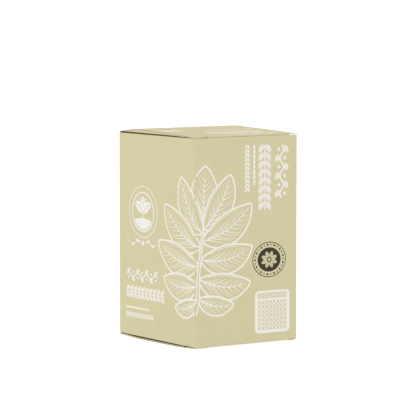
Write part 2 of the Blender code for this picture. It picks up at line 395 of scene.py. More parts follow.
def creaseColumns():
    # X of the lid's columns, with the two slits beside its rolled crease.
    edge = halfW - lid["side"]
    left, right = -halfW + lid["slitLeft"], halfW - lid["slitRight"]
    curve = 1 - np.cos(np.radians(np.linspace(0, 90, 9)))
    turnLeft, turnRight = lid["corner"] * curve, lid["cornerRight"] * curve[::-1]
    middle = np.linspace(left + lid["slit"], right, 40)
    shoulderLeft = np.linspace(-edge + lid["corner"], left, 8)[1:]
    shoulderRight = np.linspace(right + lid["slit"], edge - lid["cornerRight"], 5)[:-1]
    columns = np.concatenate([-edge + turnLeft, shoulderLeft, middle, shoulderRight, edge - turnRight])
    first = len(curve) + len(shoulderLeft) - 1
    return columns, first, first + len(middle)


def closingPanel(name, height, up, node, body):
    # A lid: its surface by height(x, y), a quarter roll at the front crease, flat shoulders beside the slits.
    columns, slitLeft, slitRight = creaseColumns()
    edge = halfW - lid["side"]
    x = columns[None, :]
    y = np.linspace(halfD - box["gap"], bendY, 70)[:, None]
    main = np.stack([x + 0 * y, y + 0 * x, height(x, y)], -1)
    turn = np.radians(np.linspace(0, 90, 11)[1:])[:, None]
    corner = np.where(x < 0, lid["corner"], lid["cornerRight"])
    beyond = np.clip((np.abs(x) - edge + corner) / corner, 0, 1)
    shoulder = -halfD + lid["side"] + lid["cornerDepth"] * (1 - np.sqrt(1 - beyond ** 2))
    level = height(x, np.full_like(x, bendY))
    flatY = bendY + (shoulder - bendY) * turn / turn[-1]
    rollY = bendY - box["crease"] * np.sin(turn)
    rollZ = level - up * box["crease"] * (1 - np.cos(turn))
    rolled = (np.arange(len(columns)) > slitLeft) & (np.arange(len(columns)) <= slitRight)
    frontY = np.where(rolled[None, :], rollY + 0 * x, flatY)
    frontZ = np.where(rolled[None, :], rollZ, level + 0 * turn)
    grid = np.concatenate([main, np.stack([x + 0 * turn, frontY, frontZ], -1)])
    holes = np.zeros((grid.shape[0] - 1, grid.shape[1] - 1), bool)
    holes[69:, [slitLeft, slitRight]] = True
    return board(name, grid, node, body, flip=up > 0, holes=holes)


def tuckFlap(name, height, up, tilt, node, body):
    # A tuck flap: a tongue that leans in by tilt, narrowed to round corners at its end.
    left = -halfW + lid["slitLeft"] + lid["slit"] + box["gap"]
    right = halfW - lid["slitRight"] - box["gap"]
    down = lid["tuck"] * np.sin(np.linspace(0, np.pi / 2, 24))
    r = lid["tuckCorner"]
    beyond = np.maximum(0.0, down - lid["tuck"] + r)
    narrow = np.minimum(r - np.sqrt(np.maximum(0.0, r * r - beyond ** 2)), r * 0.92)[:, None]
    x = left + narrow + (right - left - 2 * narrow) * np.linspace(0, 1, 30)[None, :]
    lean = math.radians(tilt)
    z = height(x, np.full_like(x, bendY)) - up * (box["crease"] + box["gap"] + down[:, None] * math.cos(lean))
    y = bendY - box["crease"] + down[:, None] * math.sin(lean) + 0 * x
    return board(name, np.stack([x, y, z], -1), node, body, flip=up > 0)


def flapHeights(side, up, y):
    # A dust flap at y: the height of its lip's edge and of its flat part.
    if up > 0:
        flat = lidHeight(side * halfW, y) - box["card"] - flap["under"]
        lip = box["sideTop"] + flap["slotFront"] + (flap["slotBack"] - flap["slotFront"]) * (y + halfD) / box["depth"]
        return np.minimum(lip, flat - flap["radius"] - 0.1), flat
    flat = bottomHeight(0.0, y) + box["card"] + flap["under"]
    return np.maximum(box["sideFoot"] - flap["bottomSlot"], flat + flap["radius"] + 0.1), flat


def dustFlap(name, side, up, node, body):
    # A dust flap: its lip goes up, turns over by a quarter round, and runs in under the lid.
    outer = halfW - flap["inset"]
    turn = np.radians(np.linspace(0, 90, 9))
    reach = flap["length"] * np.sin(np.linspace(0, np.pi / 2, 26))[1:]
    into = np.concatenate([np.zeros(len(turn) + 1), reach])
    beyond = np.maximum(0.0, into - flap["length"] + flap["corner"])
    narrow = flap["corner"] - np.sqrt(np.maximum(0.0, flap["corner"] ** 2 - beyond ** 2))
    first = (-halfD + flap["start"] + into * 0.12 + narrow)[:, None]
    final = (halfD - flap["end"] - into - narrow)[:, None]
    y = first + (final - first) * np.linspace(0, 1, 48)[None, :]
    lip, flat = flapHeights(side, up, y)
    x = outer - flap["radius"] - into[:, None] + 0 * y
    z = flat.copy()
    x[0], z[0] = outer, lip[0]
    rows = slice(1, len(turn) + 1)
    x[rows] = outer - flap["radius"] * (1 - np.cos(turn))[:, None]
    z[rows] = flat[rows] - up * flap["radius"] * (1 - np.sin(turn))[:, None]
    grid = np.stack([side * x, y, z], -1)
    return board(name, grid, node, body, flip=side * up < 0)


makeSleeve()
closingPanel("lidBoard", lidHeight, 1, "lid", "top_lid")
tuckFlap("tuckBoard", lidHeight, 1, lid["tuckTilt"], "tuck_flap", "tuck")
dustFlap("dustBoardLeft", -1, 1, "dust_flap_left", "left_dust_flap")
dustFlap("dustBoardRight", 1, 1, "dust_flap_right", "right_dust_flap")
closingPanel("bottomBoard", bottomHeight, -1, "bottom_lid", "carton")
tuckFlap("bottomTuckBoard", bottomHeight, -1, lid["bottomTilt"], "bottom_tuck_flap", "carton")
dustFlap("bottomDustBoardLeft", -1, -1, "bottom_dust_left", "carton")
dustFlap("bottomDustBoardRight", 1, -1, "bottom_dust_right", "carton")
print("card panels made")


# Strips of card over the creases, millimetres: the printed side's profile, across the crease and up
creases = {
    "hinge": [(71.96, 217.4), (71.98, 217.8), (71.97, 218.1), (71.92, 218.3), (71.80, 218.5), (71.60, 218.65)],
    "hingeEnds": (-62.4, 63.2), "grooveIn": 0.62, "grooveEnds": (-50.2, 61.6), "tuckIn": 0.15, "thick": 0.35,
    "bead": (0.0, 0.6, 1.0, 0.6, 0.0),                  # how far a groove's bead bulges inwards
    "sillIn": 0.72, "sillEnds": ((-71.0, -50.7), (62.2, 70.8)),   # beside the dust flaps, behind the lid's gap: sheets whose colour sets how dark the gap looks
    "sillFront": (-1.2, -0.4, 0.1, 0.42), "sillBack": (-1.2, -0.4, 0.3, 0.75), "sillLow": (-2.2, -1.5, -1.0, -0.62),
}


def creaseStrip(name, profile, ends, alongX, flip, blend=None, mats=None):
    # A profile, a line of points across the crease, carried straight along it
    length = np.linspace(*ends, 40)[None, :]
    across, z = np.array(profile, float).T[:, :, None]
    place = [across + 0 * length, length + 0 * across, z + 0 * length]
    if alongX:
        place[0], place[1] = place[1], place[0]
    strip = board(name, np.stack(place, -1), None, None if blend else "carton", flip, None, creases["thick"], mats)
    if blend:
        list(blend[:2])
        tuple(c * mm for c in blend[2])
        tuple(c * mm for c in blend[3])
        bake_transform(strip)


def makeCreases():
    creaseStrip("hingeCrease", creases["hinge"], creases["hingeEnds"], True, True,
                ("carton", "top_lid", (0, 72.0, 217.6), (0, 71.8, 218.7)))
    # Painted shade: the groove and foot strips and the back and foot sills are coloured dark to stand in for the shadow
    # in the gaps
    shadedStrip, shadedFoot = [creaseShade, cardRaw, cardCut], [footShade, cardRaw, cardCut]
    for side, flapBody, name in ((-1, "left_dust_flap", "Left"), (1, "right_dust_flap", "Right")):
        x = side * (halfW - creases["grooveIn"])
        bead = [side * depth for depth in creases["bead"]]
        top = [(x - b, box["sideTop"] + h) for b, h in zip(bead, (-0.8, -0.1, 0.5, 1.0, 1.5))]
        creaseStrip("grooveCrease" + name, top, creases["grooveEnds"], False, side < 0,
                    ("carton", flapBody, (x, 0, box["sideTop"]), (x, 0, box["sideTop"] + 1.2)), shadedStrip)
        # Foot strip coloured with painted shade
        foot = [(x - b, box["sideFoot"] + h) for b, h in zip(bead, (0.3, -0.3, -0.9, -1.5, -2.1))]
        creaseStrip("footShade" + name, foot, creases["grooveEnds"], False, side > 0, None, shadedFoot)
        x = side * (halfW - creases["sillIn"])
        for end, ends in zip(("Front", "Back"), creases["sillEnds"]):
            daylight = (name, end) == ("Right", "Front")       # the sky shows through that corner
            sill = [(x, box["sideTop"] + h) for h in creases["sillLow" if daylight else "sill" + end]]
            # Back sills carry the dark painted shade; the front ones are pale cut-edge colour, painted light that
            # lightens the gap, and at the right front it stands in for the background seen through it
            look = shadedStrip if end == "Back" else [cardCut, cardRaw, cardCut]
            creaseStrip("topSill" + name + end, sill, ends, False, side < 0, None, look)
            # Foot sills coloured with painted shade
            sill = [(x, box["sideFoot"] + h) for h in (1.2, 0.4, -0.2, -0.5)]
            creaseStrip("footSill" + name + end, sill, ends, False, side > 0, None, shadedStrip)
    y = -halfD + box["card"] + box["gap"] + creases["tuckIn"]
    level = box["frontTop"] + lid["front"] - box["crease"]
    ends = (-halfW + lid["slitLeft"] + 1.5, halfW - lid["slitRight"] - 1.5)
    creaseStrip("tuckCrease", [(y, level + h) for h in (0.3, 0.1, -0.1, -0.5, -0.8)], ends, True, True,
                ("top_lid", "tuck", (0, y, level + 0.1), (0, y, level - 0.4)))
    foot = [(-halfD + 0.03, box["frontFoot"] + h) for h in (0.02, -0.1, -0.2, -0.27)]
    creaseStrip("footSillFrontLeft", foot, (-halfW + 0.7, ends[0] - 2.4), True, True, None, [cardPrint, cardRaw, cardCut])
    creaseStrip("baseCrease", [(71.96, 2.8), (71.97, 2.4), (71.92, 2.0), (71.75, 1.68)], creases["hingeEnds"], True, False)


makeCreases()
print("creases made")


# Contents: the grown block in its film bag, the bag's folded top and the filter patch
contents = {
    "round": 13.0, "edgeStart": 25.0,                   # the block's round edges, millimetres and degrees
    "around": 220, "up": 90, "lump": 1.1, "seed": 7,    # its points, and how deep its hollows are
    "filmGap": 0.3, "film": 0.14, "wrinkle": 0.5, "seedFilm": 3, "overTop": 0.86,
    "layers": 6, "foldFilm": 0.3, "foldWave": 0.3, "foldSlack": 3.0, "seedFold": 11,
    "weld": 0.86, "pillow": 0.3,                        # the patch's welded rim, as a share of its half-width
    "white": (0.80, 0.765, 0.67, 1.0), "cream": (0.70, 0.63, 0.49, 1.0), "sawdust": (0.34, 0.215, 0.11, 1.0),
    "clear": (0.86, 0.88, 0.87, 1.0), "creaseHighlight": (0.97, 0.98, 0.975, 1.0), "paper": (0.86, 0.86, 0.83, 1.0), "paperDark": (0.76, 0.76, 0.73, 1.0),
}


def grownThrough(tree, place):
    # White threads over sawdust: cream where they are thin, brown where they are missing
    cover = noise(tree, place, 42.0, 6.0, 0.62)
    chips = noise(tree, place, 420.0, 3.0, 0.6, (1.0, 1.0, 1.6))
    threads = noise(tree, place, 150.0, 5.0, 0.7)
    white = threads.ramp(0.3, 0.6).mix(contents["cream"], contents["white"])
    bare = (cover * 0.72 + chips * 0.28).ramp(0.50, 0.60)
    return {
        "Base Color": bare.mix(white, contents["sawdust"]),
        "Roughness": 0.92 + 0.06 * threads,
        "Normal": bump(threads * 0.6 + chips * 0.4, 0.9, 0.0011),
    }


def ridges(tree, place, scale, wide, stretch=None):
    # Thin lines where a noise crosses its middle value
    return 1 - (noise(tree, place, scale, 3.0, 0.6, stretch) - 0.5).absolute().ramp(0.0, wide)


def filmOf(cover, haze):
    # Clear film: cover is its least opacity, haze what its creases add; the creases show as white lines, a painted
    # highlight
    def build(tree, place):
        crumple = noise(tree, place, 75.0, 5.0, 0.7, (1.0, 1.0, 0.45))
        lines = ridges(tree, place, 26.0, 0.010, (0.22, 1.0, 0.3)) * 0.5
        lines = lines + ridges(tree, place, 38.0, 0.012, (1.0, 0.25, 0.3)) * 0.5
        cloud = noise(tree, place, 22.0, 2.0)
        return {
            # White along the creases: painted highlight
            "Base Color": lines.mix(contents["clear"], contents["creaseHighlight"]),
            "Roughness": 0.14 + 0.16 * cloud + 0.2 * lines,
            "Alpha": cover + haze * (crumple.ramp(0.45, 0.7) * 0.5 + lines),
            "Normal": bump(crumple * 0.7 + lines * 0.3, 0.9, 0.0014),
        }
    return build


def filterPaper(tree, place):
    fibre = noise(tree, place, 900.0, 4.0, 0.7, (1.0, 0.35, 1.0))
    cross = noise(tree, place, 900.0, 4.0, 0.7, (0.35, 1.0, 1.0))
    web = fibre * 0.5 + cross * 0.5
    return {
        "Base Color": web.ramp(0.35, 0.62).mix(contents["paperDark"], contents["paper"]),
        "Roughness": 0.9,
        "Normal": bump(web, 0.8, 0.00012),
    }


mycelium = newMaterial("mycelium", grownThrough)
bagFilm = newMaterial("bagFilm", filmOf(0.12, 0.26))
foldedFilm = newMaterial("foldedFilm", filmOf(0.66, 0.30))        # milky where many layers lie together
patchPaper = newMaterial("patchPaper", filterPaper)


def nodeBox(node):
    low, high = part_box(node)
    return np.array(low) / mm, np.array(high) / mm


def waves(points, scale, count, seed):
    # Smooth lumps: the mean of sine waves in random directions, about one bump per scale millimetres
    random = np.random.default_rng(seed)
    way = random.normal(size=(count, 3)) * (2 * np.pi / scale) / 1.7
    phase = random.uniform(0, 2 * np.pi, count)
    return np.sin(points @ way.T + phase).mean(-1) * np.sqrt(count) / 1.4


def roundedRing(halfX, halfY, radius, count):
    # Points at equal steps round a rectangle whose corners are quarter circles, and their outward normals
    turn = np.radians(np.linspace(0, 90, 16))
    sides = np.array([(1, 1), (-1, 1), (-1, -1), (1, -1)], float)[:, None, :]
    angle = turn[None, :] + np.radians([[0], [90], [180], [270]])
    normal = np.stack([np.cos(angle), np.sin(angle)], -1)
    line = (sides * (halfX - radius, halfY - radius) + radius * normal).reshape(-1, 2)
    normal = normal.reshape(-1, 2)
    line, normal = np.vstack([line, line[:1]]), np.vstack([normal, normal[:1]])
    s = along(line)
    at = np.linspace(0, s[-1], count, endpoint=False)
    ring = [np.interp(at, s, values) for values in (*line.T, *normal.T)]
    return np.stack(ring[:2], -1), np.stack(ring[2:], -1)


def wrappedQuads(rows, columns):
    # A grid whose last column joins its first
    start = np.arange(rows - 1)[:, None] * columns
    i = np.arange(columns)[None, :]
    j = (i + 1) % columns
    return np.stack([start + i, start + j, start + columns + j, start + columns + i], -1).reshape(-1, 4)


def blockGrid(low, high):
    # Rings of a rounded rectangle from the middle of the underside to the middle of the top.
    # A ring is scaled by its share on the flat ends, and drawn in by a quarter round at the edges.
    half, radius = (high - low)[:2] / 2, contents["round"]
    turn = np.radians(np.linspace(contents["edgeStart"], 90, 9))
    drop = radius * (math.cos(turn[0]) - np.cos(turn))
    inset = radius * (1 - np.sin(turn))
    middle = np.linspace(low[2] + drop[-1], high[2] - drop[-1], contents["up"])[1:-1]
    caps = np.linspace(0, 1, 24, endpoint=False)
    share = np.concatenate([caps, np.ones(2 * len(turn) + len(middle)), caps[::-1]])
    inset = np.concatenate([0 * caps + inset[0], inset, 0 * middle, inset[::-1], 0 * caps + inset[0]])
    z = np.concatenate([0 * caps + low[2], low[2] + drop, middle, high[2] - drop[::-1], 0 * caps + high[2]])
    ring, normal = roundedRing(*half, radius, contents["around"])
    flat = (ring[None] - normal[None] * inset[:, None, None]) * share[:, None, None]
    return np.concatenate([flat, np.broadcast_to(z[:, None, None], flat.shape[:2] + (1,))], -1), share


def joinPoles(obj):
    work = bmesh.new()
    work.from_mesh(obj.data)
    bmesh.ops.remove_doubles(work, verts=work.verts, dist=0.000002)
    work.to_mesh(obj.data)
    work.free()


def putIn(obj, node, sharp):
    settle(obj, sharp)
    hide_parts(node)
    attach(obj, "carton")


def makeBlock():
    # The block's rings, pressed in by lumps
    low, high = nodeBox("substrate_block")
    grid, share = blockGrid(low, high)
    points = grid.reshape(-1, 3)
    seed = contents["seed"]
    lump = 0.62 * waves(points, 26.0, 14, seed) + 0.38 * waves(points, 9.0, 18, seed + 1)
    press = contents["lump"] * np.clip(0.5 + 0.5 * lump, 0, 1)
    centre, half = (low + high) / 2, (high - low) / 2
    points = centre + (points - centre) * (1 - press[:, None] / half)
    obj = newMesh("grownBlock", points, wrappedQuads(*grid.shape[:2]), [mycelium])
    joinPoles(obj)
    putIn(obj, "substrate_block", 60.0)


def makeBag():
    # The film: the block's rings moved out along their normals by a gap and crumples, up and over the top edge
    low, high = nodeBox("substrate_block")
    grid, share = blockGrid(low, high)
    rows = np.arange(len(share))
    last = rows[(share < contents["overTop"]) & (rows > len(share) / 2)][0]
    across = np.roll(grid, -1, 1) - np.roll(grid, 1, 1)
    normal = np.cross(across, np.gradient(grid, axis=0))[:last]
    flat = share[:last] < 1
    normal[flat] = np.where((rows[:last] < len(share) / 2)[flat, None, None], (0, 0, -1.0), (0, 0, 1.0))
    normal = normal / np.linalg.norm(normal, axis=-1)[..., None]
    points = grid[:last].reshape(-1, 3)
    seed = contents["seedFilm"]
    crumple = np.abs(waves(points * (1, 1, 0.35), 22.0, 12, seed)) + 0.5 * np.abs(waves(points, 7.0, 16, seed + 1))
    upper = np.clip((points[:, 2] - low[2]) / (high[2] - low[2]), 0, 1)
    gap = contents["filmGap"] + contents["wrinkle"] * crumple * (0.35 + 0.65 * upper)
    gap = np.where(np.repeat(flat, grid.shape[1]), contents["filmGap"] * 0.7, gap)
    points = points + normal.reshape(-1, 3) * gap[:, None]
    obj = newMesh("filmBag", points, wrappedQuads(last, grid.shape[1]), [bagFilm])
    joinPoles(obj)
    solid = obj.modifiers.new("film", "SOLIDIFY")
    solid.thickness = contents["film"] * mm
    solid.offset = 1.0
    putIn(obj, "grow_bag", 50.0)


def makeFold():
    # The bag's top, folded up flat: runs of film joined by half circles, with ends that differ and small waves
    low, high = nodeBox("bag_fold")
    film, wave, slack = contents["foldFilm"], contents["foldWave"], contents["foldSlack"]
    random = np.random.default_rng(contents["seedFold"])
    bottom, top = low[2] + film / 2 + 2 * wave, high[2] - film / 2
    pitch = (top - bottom) / (contents["layers"] - 1)
    path = []
    reach = high[1] - film - pitch / 2 - slack * random.uniform(0.0, 1.0, contents["layers"] + 1)
    for k in range(contents["layers"]):
        way = 1 if k % 2 else -1
        y = way * np.linspace(-reach[k], reach[k + 1], 36)
        path += [(a, bottom + pitch * k) for a in y]
        if k < contents["layers"] - 1:
            turn = np.radians(np.linspace(-90, 90, 9)[1:-1])
            path += [(way * (reach[k + 1] + pitch / 2 * math.cos(a)), bottom + pitch * (k + 0.5 + 0.5 * math.sin(a)))
                     for a in turn]
    y, z = np.array(path).T[:, :, None]
    x = np.linspace(low[0] + film, high[0] - film, 84)[None, :]
    y, z, x = y + 0 * x, z + 0 * x, x + 0 * y
    points = np.stack([x, y, z * 6], -1).reshape(-1, 3)
    ripple = wave * waves(points, 30.0, 12, contents["seedFold"] + 1).reshape(x.shape)
    patch = nodeBox("filter_patch")[1][0]
    edge = np.clip((np.maximum(np.abs(x), np.abs(y)) - patch) / 12.0, 0, 1)
    z = z - np.abs(ripple) * edge
    x = x * (1 - 0.012 * (0.5 + 0.5 * np.sin(y / 9.0 + z * 2.0)))
    obj = newMesh("foldedTop", np.stack([x, y, z], -1).reshape(-1, 3), gridQuads(*x.shape), [foldedFilm])
    solid = obj.modifiers.new("film", "SOLIDIFY")
    solid.thickness = film * mm
    solid.offset = 0.0
    putIn(obj, "bag_fold", 50.0)


def makePatch():
    # The patch: rings from the middle of its underside out and back in over the top,
    # which is pillowed inside a pressed rim by a smooth step.
    low, high = nodeBox("filter_patch")
    half = (high - low)[:2] / 2
    ring, normal = roundedRing(*half, 3.0, 160)
    share = np.concatenate([np.linspace(0, 1, 8), np.linspace(1, contents["weld"], 14), np.linspace(contents["weld"], 0, 12)[1:]])
    top = np.arange(len(share)) >= 8
    step = np.clip((contents["weld"] - share) / 0.06 + 1, 0, 1)
    height = low[2] - 0.2 + np.where(top, 0.42 + contents["pillow"] * step * step * (3 - 2 * step), 0.0)
    flat = ring[None] * share[:, None, None]
    grid = np.concatenate([flat, np.broadcast_to(height[:, None, None], flat.shape[:2] + (1,))], -1)
    obj = newMesh("patch", grid.reshape(-1, 3), wrappedQuads(*grid.shape[:2]), [patchPaper])
    joinPoles(obj)
    putIn(obj, "filter_patch", 40.0)


# Printed artwork in flat millimetres: u runs along the card, v up it. A shape is two edges, left and right.
ink = {
    "line": 1.8, "rib": 1.5, "vein": 1.05, "fine": 0.9,    # widths of the drawing's strokes
    "step": 0.9, "foldStep": 0.25, "foldReach": 1.6,       # between a stroke's points, finer round a fold
}


def smooth(*points, count=12):
    # A curve through the points: Catmull-Rom cubics, whose slope at a point is half the step past it.
    p = np.array(points, float)
    p = np.vstack([2 * p[0] - p[1], p, 2 * p[-1] - p[-2]])
    t = np.linspace(0, 1, count, endpoint=False)[:, None, None]
    a, b, c, d = p[:-3], p[1:-2], p[2:-1], p[3:]
    spans = b + 0.5 * t * (c - a + t * (2 * a - 5 * b + 4 * c - d + t * (3 * (b - c) + d - a)))
    return np.vstack([spans.transpose(1, 0, 2).reshape(-1, 2), p[-2]])


def arc(u, v, wide, tall=None, start=0.0, end=360.0, count=64):
    # Part of an ellipse: the centre plus the half-axes times cosine and sine.
    angle = np.radians(np.linspace(start, end, count + 1))
    return np.stack([u + wide * np.cos(angle), v + (tall or wide) * np.sin(angle)], -1)


def along(line):
    # Distance from the start to each point of a line.
    return np.concatenate([[0.0], np.cumsum(np.hypot(*np.diff(line, axis=0).T))])


def evened(line, ends=0.0):
    # The line with new points: a step apart, a smaller step where u crosses the fold, more at round ends.
    fine = np.linspace(0, 1, max(24, int(along(line)[-1] / 0.2)))
    s = along(line) / along(line)[-1]
    line = np.stack([np.interp(fine, s, line[:, 0]), np.interp(fine, s, line[:, 1])], -1)
    s = along(line)
    nearFold = np.abs(line[:, 0]) < ink["foldReach"]
    count = np.cumsum(np.diff(s, prepend=0.0) / np.where(nearFold, ink["foldStep"], ink["step"]))
    places = np.interp(np.linspace(0, count[-1], max(5, int(count[-1]) + 2)), count, s)
    if ends:
        cap = ends * np.array([0.06, 0.25, 0.55, 1.0])
        cap = cap[cap < s[-1] / 2]
        places = np.unique(np.concatenate([places[(places > ends) & (places < s[-1] - ends)],
                                           [0.0], cap, s[-1] - cap, [s[-1]]]))
    return np.stack([np.interp(places, s, line[:, 0]), np.interp(places, s, line[:, 1])], -1)


def stroke(line, width, taper=0.0, closed=False):
    # A line of ink: its edges stand half the width to each side, less a share at its far end, with round ends.
    line = evened(line, 0.0 if closed else width / 2)
    s = along(line)
    half = width / 2 * (1 - taper * s / s[-1])
    slope = np.gradient(line, axis=0)
    if closed:
        slope[0] = slope[-1] = line[1] - line[-2]
    else:
        near = np.clip(np.minimum(s, s[-1] - s) / (width / 2), 0.0, 1.0)
        half = half * np.sqrt(np.maximum(0.01, 1 - (1 - near) ** 2))
    slope = slope / np.hypot(slope[:, 0], slope[:, 1])[:, None]
    across = np.stack([-slope[:, 1], slope[:, 0]], -1) * half[:, None]
    return line + across, line - across, closed


def fill(first, second):
    # The area between two edges with as many points each, turned so that the first is the left one.
    gap = first - second
    run = np.gradient(first + second, axis=0)
    if (run[:, 0] * gap[:, 1] - run[:, 1] * gap[:, 0]).sum() < 0:
        first, second = second, first
    return first, second, False


def disc(u, v, wide, tall=None, count=13):
    # A filled ellipse between its upper and its lower half.
    return fill(arc(u, v, wide, tall, 175, 5, count), arc(u, v, wide, tall, 185, 355, count))


def moved(shapes, u, v, turn=0.0, size=1.0):
    # Shapes turned by an angle in degrees, scaled, then moved.
    c, s = size * math.cos(math.radians(turn)), size * math.sin(math.radians(turn))
    spin = np.array([[c, s], [-s, c]])
    return [(first @ spin + (u, v), second @ spin + (u, v), closed) for first, second, closed in shapes]


def onLeaf(leaf, t, across):
    # A point of a leaf: t along its midrib, a straight run bowed by a parabola, and across of its half-width.
    # The half-width is t to the power early times 1 - t to the power late, scaled to 1 where it peaks.
    base, run = np.array(leaf["base"], float), np.subtract(leaf["tip"], leaf["base"]).astype(float)
    early, late, bow = leaf.get("early", 0.75), leaf.get("late", 0.8), leaf.get("bow", 0.0)
    peak = early / (early + late)
    half = leaf["half"] * t ** early * (1 - t) ** late / (peak ** early * (1 - peak) ** late)
    side = np.array([-run[1], run[0]]) / np.hypot(*run)
    t = t[:, None]
    slope = run + side * bow * 4 * (1 - 2 * t)
    slope = slope / np.hypot(slope[:, 0], slope[:, 1])[:, None]
    sideways = np.stack([-slope[:, 1], slope[:, 0]], -1)
    return base + run * t + side * bow * 4 * t * (1 - t) + (across * half)[:, None] * sideways


def leafEdge(leaf, side, count=40):
    t = (1 - np.cos(np.linspace(0, np.pi, count))) / 2
    return onLeaf(leaf, t, side + 0 * t)


def petal(base, tip, half, slit=0.0, count=10, bow=0.0):
    # A filled leaf; a slit, in millimetres, leaves its midrib bare.
    leaf = {"base": base, "tip": tip, "half": half, "early": 0.62, "late": 0.7, "bow": bow}
    t = 0.02 + 0.96 * (1 - np.cos(np.linspace(0, np.pi, count))) / 2
    edges = [onLeaf(leaf, t, side + 0 * t) for side in (1, -1)]
    if not slit:
        return [fill(*edges)]
    rib = onLeaf(leaf, t, 0 * t)
    inner = [rib + (edge - rib) * np.minimum(0.9, slit / 2 / np.maximum(0.01, np.hypot(*(edge - rib).T)))[:, None]
             for edge in edges]
    return [fill(edges[0], inner[0]), fill(inner[1], edges[1])]


def leafLines(leaf):
    # The strokes of a drawn leaf: edges, midrib, an inner contour on its folded side, and curved veins.
    folded = leaf["folded"]
    lines = [(leafEdge(leaf, 1), ink["line"], 0.0), (leafEdge(leaf, -1), ink["line"], 0.0)]
    t = np.linspace(0, 0.93, 40)
    lines.append((onLeaf(leaf, t, 0 * t), ink["rib"], 0.6))
    t = np.linspace(0.14, 0.78, 30)
    lines.append((onLeaf(leaf, t, folded * (0.78 + 0.08 * np.sin(np.pi * (t - 0.14) / 0.64))), ink["fine"], 0.5))
    s = np.linspace(0.0, 1.0, 16)
    for number, start in enumerate(np.linspace(0.06, 0.78, leaf["veins"])):
        for side in (-1, 1):
            far = (0.62 if side == folded else 0.84) - 0.10 * (number % 2)
            t = start + (0.34 - 0.30 * start) * s
            lines.append((onLeaf(leaf, t, side * far * s ** 0.9), ink["vein"] * (1.1 - 0.35 * start), 0.75))
    return lines


def inside(points, outline):
    # Even-odd rule: a ray to the right of a point inside crosses the outline an odd number of times.
    u, v = points[:, 0, None], points[:, 1, None]
    u0, v0 = outline[:, 0], outline[:, 1]
    u1, v1 = np.roll(u0, -1), np.roll(v0, -1)
    crosses = (v0 > v) != (v1 > v)
    rise = np.where(v1 == v0, 1.0, v1 - v0)
    return (crosses & (u0 + (v - v0) * (u1 - u0) / rise > u)).sum(1) % 2 == 1


def uncovered(line, fronts):
    # The runs of a line that no outline in front of it covers.
    fine = np.linspace(0, 1, int(along(line)[-1] / 0.3) + 8)
    s = along(line) / along(line)[-1]
    line = np.stack([np.interp(fine, s, line[:, 0]), np.interp(fine, s, line[:, 1])], -1)
    hidden = np.zeros(len(line), bool)
    for outline in fronts:
        hidden |= inside(line, outline)
    cuts = np.flatnonzero(np.diff(hidden)) + 1
    runs = zip(np.split(line, cuts), np.split(hidden, cuts))
    return [run for run, covered in runs if not covered[0] and along(run)[-1] > 1.2]


# The big drawing, which wraps round the corner: leaves on a stem, the foremost one first
plant = {
    "stem": [(-1, 35), (3, 50), (4, 76), (7, 100), (10, 122)], "stemWidth": 3.6,
    "leaves": [
        # base, tip, half-width, bow, veins, folded side
        ((3, 51), (-36, 42), 9.5, 5, 6, -1), ((4, 53), (48, 45), 10.0, -5, 6, 1),
        ((5, 73), (69, 67), 14.0, -7, 8, 1), ((4, 67), (-57, 71), 14.0, 6, 8, -1),
        ((7, 93), (71, 104), 15.0, -7, 9, 1), ((5, 87), (-67, 108), 16.0, 7, 9, -1),
        ((9, 112), (70, 148), 16.0, -7, 9, 1), ((7, 106), (-55, 147), 16.5, 7, 9, -1),
        ((11, 124), (44, 179), 15.0, -5, 8, 1), ((9, 120), (-25, 177), 15.5, 5, 8, -1),
        ((10, 118), (13, 189), 18.5, 1, 10, 1),
    ],
}


def drawPlant():
    trunk = stroke(smooth(*plant["stem"]), plant["stemWidth"], 0.35)
    fronts = [np.vstack([trunk[0], trunk[1][::-1]])]
    shapes = [stroke(edge[1:-1], ink["rib"]) for edge in trunk[:2]]
    for base, tip, half, bow, veins, folded in plant["leaves"]:
        leaf = {"base": base, "tip": tip, "half": half, "bow": bow, "veins": veins, "folded": folded}
        for line, width, taper in leafLines(leaf):
            shapes += [stroke(run, width, taper) for run in uncovered(line, fronts)]
        shapes.append(disc(*tip, ink["line"] / 2))
        fronts.append(np.vstack([leafEdge(leaf, 1), leafEdge(leaf, -1)[::-1]]))
    return shapes


def vine(length, height, count):
    # A stem along a sine wave, with a filled leaf off each crest and trough and a bead in each hollow.
    a = np.linspace(0, length, 90)
    shapes = [stroke(np.stack([a, height * (0.5 + 0.17 * np.sin(np.pi * count * a / length))], -1), 0.13 * height)]
    pitch = length / count
    for k in range(count):
        up = 1 - 2 * (k % 2)
        at = pitch * (k + 0.5)
        crest = height * (0.5 + 0.17 * up)
        shapes += petal((at - 0.30 * pitch, crest - 0.04 * height * up), (at + 0.46 * pitch, height * (0.5 + 0.5 * up)),
                        0.20 * height, 0.05 * height, bow=0.10 * height * up)
        shapes.append(disc(at, height * (0.5 - 0.27 * up), 0.13 * height))
    return shapes


def laurel(length, height, count, slit=0.0, points=10):
    # Pairs of filled leaves along a straight stem, which lean forward.
    pitch = length / count
    shapes = [stroke(np.array([(0.0, height / 2), (length, height / 2)]), 0.10 * height)]
    for k in range(count):
        for up in (-1, 1):
            start = (pitch * (k + 0.02), height * (0.5 + 0.03 * up))
            shapes += petal(start, (pitch * (k + 1.0), height * (0.5 + 0.5 * up)), 0.19 * height, slit, points,
                            0.10 * height * up)
    return shapes


def beads(length, height, count):
    # A row of lying leaves and dots in turn.
    pitch = length / count
    shapes = []
    for k in range(count):
        shapes += petal((pitch * k, height / 2), (pitch * (k + 0.62), height / 2), 0.36 * height, 0.0, 7)
        shapes.append(disc(pitch * (k + 0.81), height / 2, 0.24 * height, count=6))
    return shapes


badge = {"ring": 27.0, "inner": 20.5}


